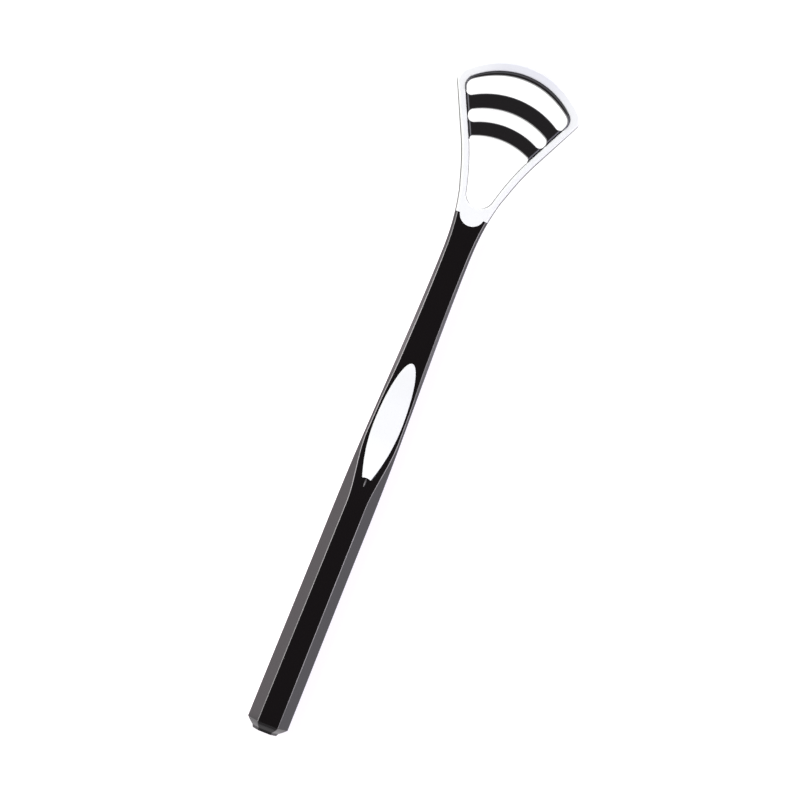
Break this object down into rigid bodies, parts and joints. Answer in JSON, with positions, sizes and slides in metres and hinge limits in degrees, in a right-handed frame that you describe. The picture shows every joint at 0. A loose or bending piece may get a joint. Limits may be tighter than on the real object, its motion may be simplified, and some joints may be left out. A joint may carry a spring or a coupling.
{
  "type": "tongue scraper",
  "caption": "Tongue scraper with a tapering hexagonal black handle, a white thumb inlay and a white fan-shaped head that holds curved black scraping strips.",
  "frame": {"origin": "middle of the tool's length and width, on the surface that the back of the handle rests on", "axes": "+Y from the butt of the handle to the tip of the head, +Z out of the face with the thumb inlay, +X to the right seen from the front with the head up"},
  "size_m": [0.0354, 0.1946, 0.01],
  "materials": {
    "black_plastic": "glossy moulded black plastic",
    "white_plastic": "satin moulded white plastic with a faint cool tint",
    "black_rubber": "satin moulded black elastomer"
  },
  "bodies": {
    "root": {"handle": "black_plastic", "thumb_inlay": "white_plastic", "head_frame": "white_plastic", "scraper_lip": "black_rubber", "upper_scraper_bar": "black_rubber", "lower_scraper_bar": "black_rubber"}
  },
  "joints": []
}
